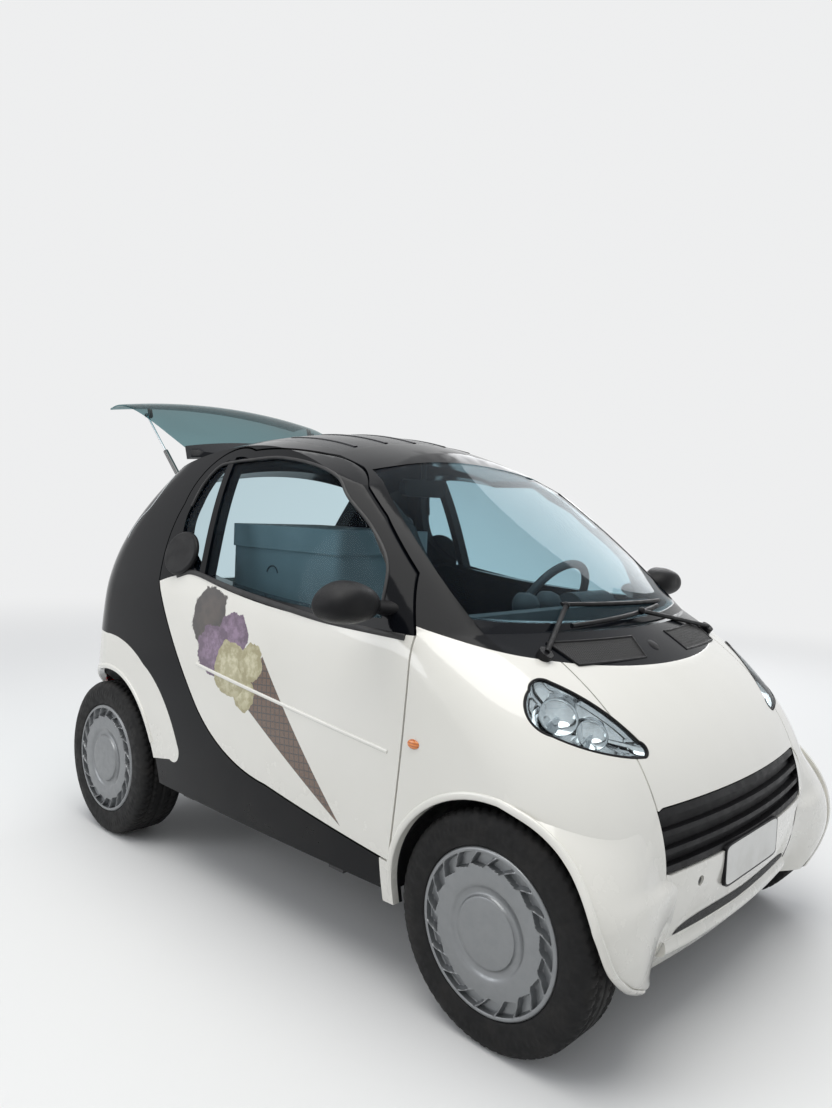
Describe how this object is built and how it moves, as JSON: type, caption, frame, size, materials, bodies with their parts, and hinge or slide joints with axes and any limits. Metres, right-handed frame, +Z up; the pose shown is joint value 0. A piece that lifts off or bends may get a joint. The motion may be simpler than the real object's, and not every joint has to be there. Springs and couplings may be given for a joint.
{
  "type": "two-seat micro car fitted out as an ice cream car",
  "caption": "Short two-seat city car with black cell and white panels, open rear glass hatch, and a tall grey cooler chest beside the driver for selling ice cream.",
  "frame": {"origin": "on the ground under the middle of the model's box, open hatch included", "axes": "+X forward, +Y to the car's left, +Z up"},
  "size_m": [2.6824, 1.852, 1.7127],
  "materials": {
    "panel_white": "glossy warm white",
    "cell_black": "gloss black paint",
    "roof_black": "gloss black",
    "trim_black": "grained black",
    "cabin_dark": "grained dark grey",
    "seat_fabric": "woven dark grey",
    "clear_glass": "clear",
    "tinted_glass": "tinted",
    "lamp_clear": "clear with facets",
    "lamp_red": "red",
    "wheel_silver": "silver paint",
    "tyre_rubber": "black",
    "steel_dark": "dark underside paint",
    "engine_metal": "cast",
    "exhaust_steel": "dull",
    "chest_grey": "moulded grey",
    "strut_steel": "black"
  },
  "bodies": {
    "root": {"safety_cell": "cell_black", "roof_panel": "roof_black", "windscreen": "clear_glass", "scuttle": "roof_black", "service_cover": "panel_white", "front_wings": "panel_white", "front_bumper": "panel_white", "front_carrier": "trim_black", "front_grille": "trim_black", "headlamps": "lamp_clear", "rear_wings": "panel_white", "rear_bumper": "panel_white", "front_liners": "trim_black", "rear_liners": "trim_black", "floor_pan": "steel_dark", "front_axle": "steel_dark", "rear_axle": "steel_dark", "engine_block": "engine_metal", "exhaust": "exhaust_steel", "dashboard": "cabin_dark", "driver_seat": "seat_fabric", "cooler_tub": "chest_grey", "body_fittings": "trim_black", "wipers": "trim_black", "interior_mirror": "trim_black", "rear_lamps": "lamp_red"},
    "cooler_lid": {"cooler_lid": "chest_grey"},
    "tailgate": {"tailgate": "panel_white"},
    "hatch": {"hatch_panel": "roof_black", "hatch_glass": "tinted_glass", "hatch_brackets": "trim_black"},
    "steering_wheel": {"steering_wheel": "cabin_dark"},
    "door_left": {"door_skin_left": "panel_white", "door_frame_left": "cell_black", "door_glass_left": "clear_glass", "mirror_left": "trim_black", "door_handle_left": "trim_black"},
    "strut_tube_left": {"strut_tube_left": "strut_steel"},
    "strut_rod_left": {"strut_rod_left": "strut_steel"},
    "knuckle_left": {"knuckle_left": "steel_dark"},
    "rolling_front_left": {"wheel_front_left": "wheel_silver", "tyre_front_left": "tyre_rubber"},
    "rolling_rear_left": {"wheel_rear_left": "wheel_silver", "tyre_rear_left": "tyre_rubber"},
    "door_right": {"door_skin_right": "panel_white", "door_frame_right": "cell_black", "door_glass_right": "clear_glass", "mirror_right": "trim_black", "door_handle_right": "trim_black"},
    "strut_tube_right": {"strut_tube_right": "strut_steel"},
    "strut_rod_right": {"strut_rod_right": "strut_steel"},
    "knuckle_right": {"knuckle_right": "steel_dark"},
    "rolling_front_right": {"wheel_front_right": "wheel_silver", "tyre_front_right": "tyre_rubber"},
    "rolling_rear_right": {"wheel_rear_right": "wheel_silver", "tyre_rear_right": "tyre_rubber"}
  },
  "joints": [
    {"name": "steer_left", "type": "hinge", "parent": "root", "child": "knuckle_left", "pos_m": [0.99918, 0.585, 0.285], "axis": [0, 0, 1], "range_deg": [-34, 34]},
    {"name": "roll_front_left", "type": "hinge", "parent": "knuckle_left", "child": "rolling_front_left", "pos_m": [0.99918, 0.636, 0.285], "axis": [0, 1, 0], "continuous": true},
    {"name": "roll_rear_left", "type": "hinge", "parent": "root", "child": "rolling_rear_left", "pos_m": [-0.81282, 0.66, 0.287], "axis": [0, 1, 0], "continuous": true},
    {"name": "door_left", "type": "hinge", "parent": "root", "child": "door_left", "pos_m": [0.72918, 0.752, 0.65], "axis": [0, 0, -1], "range_deg": [0, 65]},
    {"name": "steer_right", "type": "hinge", "parent": "root", "child": "knuckle_right", "pos_m": [0.99918, -0.585, 0.285], "axis": [0, 0, 1], "range_deg": [-34, 34]},
    {"name": "roll_front_right", "type": "hinge", "parent": "knuckle_right", "child": "rolling_front_right", "pos_m": [0.99918, -0.636, 0.285], "axis": [0, 1, 0], "continuous": true},
    {"name": "roll_rear_right", "type": "hinge", "parent": "root", "child": "rolling_rear_right", "pos_m": [-0.81282, -0.66, 0.287], "axis": [0, 1, 0], "continuous": true},
    {"name": "door_right", "type": "hinge", "parent": "root", "child": "door_right", "pos_m": [0.72918, -0.752, 0.65], "axis": [0, 0, 1], "range_deg": [0, 65]},
    {"name": "steering_turn", "type": "hinge", "parent": "root", "child": "steering_wheel", "pos_m": [0.44118, 0.32, 0.945], "axis": [-0.8829, 0, 0.4695], "range_deg": [-612, 612]},
    {"name": "hatch_lift", "type": "hinge", "parent": "root", "child": "hatch", "pos_m": [-0.71082, 0, 1.462], "axis": [0, 1, 0], "range_deg": [-72, 0]},
    {"name": "tailgate_drop", "type": "hinge", "parent": "root", "child": "tailgate", "pos_m": [-1.15382, 0, 0.622], "axis": [0, -1, 0], "range_deg": [0, 90]},
    {"name": "cooler_lid_lift", "type": "slide", "parent": "root", "child": "cooler_lid", "axis": [0, 0, 1], "range_m": [0, 0.07]},
    {"name": "strut_swing_left", "type": "hinge", "parent": "root", "child": "strut_tube_left", "pos_m": [-0.78482, 0.446, 1.309], "axis": [0, 1, 0], "range_deg": [-87.12, 0]},
    {"name": "strut_slide_left", "type": "slide", "parent": "strut_tube_left", "child": "strut_rod_left", "axis": [-0.7188, 0, 0.6953], "range_m": [-0.18526, 0]},
    {"name": "strut_swing_right", "type": "hinge", "parent": "root", "child": "strut_tube_right", "pos_m": [-0.78482, -0.446, 1.309], "axis": [0, 1, 0], "range_deg": [-87.12, 0]},
    {"name": "strut_slide_right", "type": "slide", "parent": "strut_tube_right", "child": "strut_rod_right", "axis": [-0.7188, 0, 0.6953], "range_m": [-0.18526, 0]}
  ],
  "couplings": [
    {"joint": "steer_left", "follows": "steer_right", "ratio": 1},
    {"joint": "steering_turn", "follows": "steer_right", "ratio": 18},
    {"joint": "strut_swing_left", "follows": "hatch_lift", "ratio": 1.1823},
    {"joint": "strut_slide_left", "follows": "hatch_lift", "m_per_rad": 0.14583},
    {"joint": "strut_swing_right", "follows": "hatch_lift", "ratio": 1.1823},
    {"joint": "strut_slide_right", "follows": "hatch_lift", "m_per_rad": 0.14583}
  ]
}
